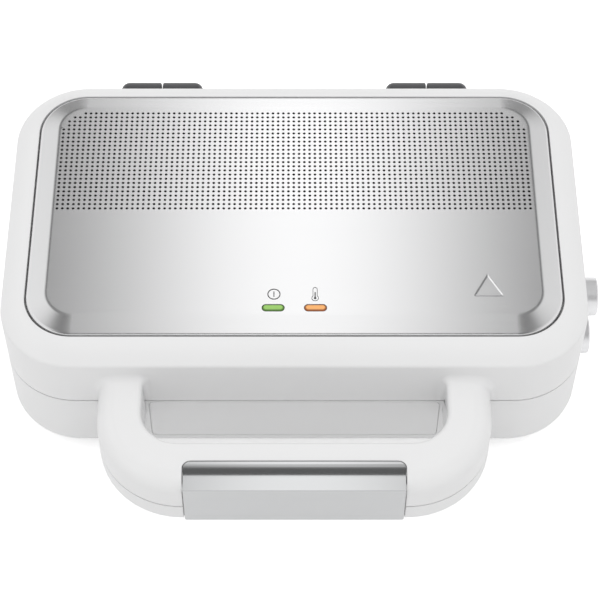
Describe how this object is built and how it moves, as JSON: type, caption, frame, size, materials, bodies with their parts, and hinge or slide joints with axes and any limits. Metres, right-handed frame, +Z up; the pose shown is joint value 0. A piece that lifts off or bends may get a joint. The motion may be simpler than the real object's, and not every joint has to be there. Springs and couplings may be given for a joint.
{
  "type": "sandwich maker",
  "caption": "Countertop sandwich maker: hinged lid with steel top panel, U handle with locking latch, lift-out deep pocket plates and round release buttons.",
  "frame": {"origin": "under the middle of the whole appliance's bounding box, on the surface that the feet stand on", "axes": "+X to the user's right along the width, +Y from the handle towards the hinges, +Z up"},
  "size_m": [0.301, 0.2588, 0.0935],
  "materials": {
    "white_plastic": "white moulded plastic with a soft satin gloss",
    "brushed_steel": "satin brushed stainless steel",
    "polished_steel": "finely brushed, nearly polished steel",
    "button_chrome": "silver plated plastic",
    "dark_plastic": "dark grey moulded plastic",
    "black_liner": "matt black",
    "green_lens": "translucent green plastic",
    "amber_lens": "translucent orange plastic",
    "plate_coating": "cast aluminium with a dark non-stick coating",
    "tray_steel": "bare pressed steel",
    "element_sheath": "heat darkened steel sheath",
    "foot_rubber": "matt rubber",
    "ceramic": "unglazed ceramic and heat resistant resin",
    "screw_zinc": "zinc plated steel"
  },
  "bodies": {
    "base": {"base_housing": "white_plastic", "bottom_cover": "dark_plastic", "cover_screw_front_left": "screw_zinc", "cover_screw_front_right": "screw_zinc", "cover_screw_back_right": "screw_zinc", "cover_screw_back_left": "screw_zinc", "foot_front_left": "foot_rubber", "foot_front_right": "foot_rubber", "foot_back_right": "foot_rubber", "foot_back_left": "foot_rubber", "lower_handle": "white_plastic", "handle_screw_left": "screw_zinc", "handle_screw_right": "screw_zinc", "base_knuckle_left": "dark_plastic", "base_knuckle_right": "dark_plastic", "hinge_pin_left": "screw_zinc", "hinge_pin_right": "screw_zinc", "lower_carrier": "tray_steel", "lower_carrier_screw_front_left": "screw_zinc", "lower_carrier_screw_front_right": "screw_zinc", "lower_carrier_screw_back_right": "screw_zinc", "lower_carrier_screw_back_left": "screw_zinc", "lower_element": "element_sheath", "lower_plate": "plate_coating", "lower_button_spring": "screw_zinc", "thermostat": "ceramic", "thermal_fuse": "screw_zinc", "terminal_block": "ceramic", "cord_gland": "dark_plastic"},
    "lid": {"lid_housing": "white_plastic", "steel_panel": "brushed_steel", "panel_liner": "black_liner", "power_lens": "green_lens", "ready_lens": "amber_lens", "power_lamp": "green_lens", "ready_lamp": "amber_lens", "lamp_holder": "ceramic", "upper_carrier": "tray_steel", "upper_carrier_screw_front_left": "screw_zinc", "upper_carrier_screw_front_right": "screw_zinc", "upper_carrier_screw_back_right": "screw_zinc", "upper_carrier_screw_back_left": "screw_zinc", "upper_element": "element_sheath", "upper_plate": "plate_coating", "upper_button_spring": "screw_zinc", "lid_knuckle_left": "dark_plastic", "lid_knuckle_right": "dark_plastic", "latch_pin": "screw_zinc"},
    "latch": {"handle_latch": "polished_steel"},
    "upper_button": {"upper_release_button": "button_chrome", "upper_catch": "white_plastic"},
    "lower_button": {"lower_release_button": "button_chrome", "lower_catch": "white_plastic"}
  },
  "joints": [
    {"name": "lid_hinge", "type": "hinge", "parent": "base", "child": "lid", "pos_m": [-0.00355, 0.1206, 0.0635], "axis": [-1, 0, 0], "range_deg": [0, 100]},
    {"name": "latch_pivot", "type": "hinge", "parent": "lid", "child": "latch", "pos_m": [-0.00355, -0.1206, 0.0692], "axis": [-1, 0, 0], "range_deg": [0, 20]},
    {"name": "upper_button_slide", "type": "slide", "parent": "lid", "child": "upper_button", "axis": [-1, 0, 0], "range_m": [0, 0.004], "stiffness_N_per_m": 400, "springref_m": -0.002, "deforming": ["upper_button_spring"]},
    {"name": "lower_button_slide", "type": "slide", "parent": "base", "child": "lower_button", "axis": [-1, 0, 0], "range_m": [0, 0.004], "stiffness_N_per_m": 400, "springref_m": -0.002, "deforming": ["lower_button_spring"]}
  ]
}
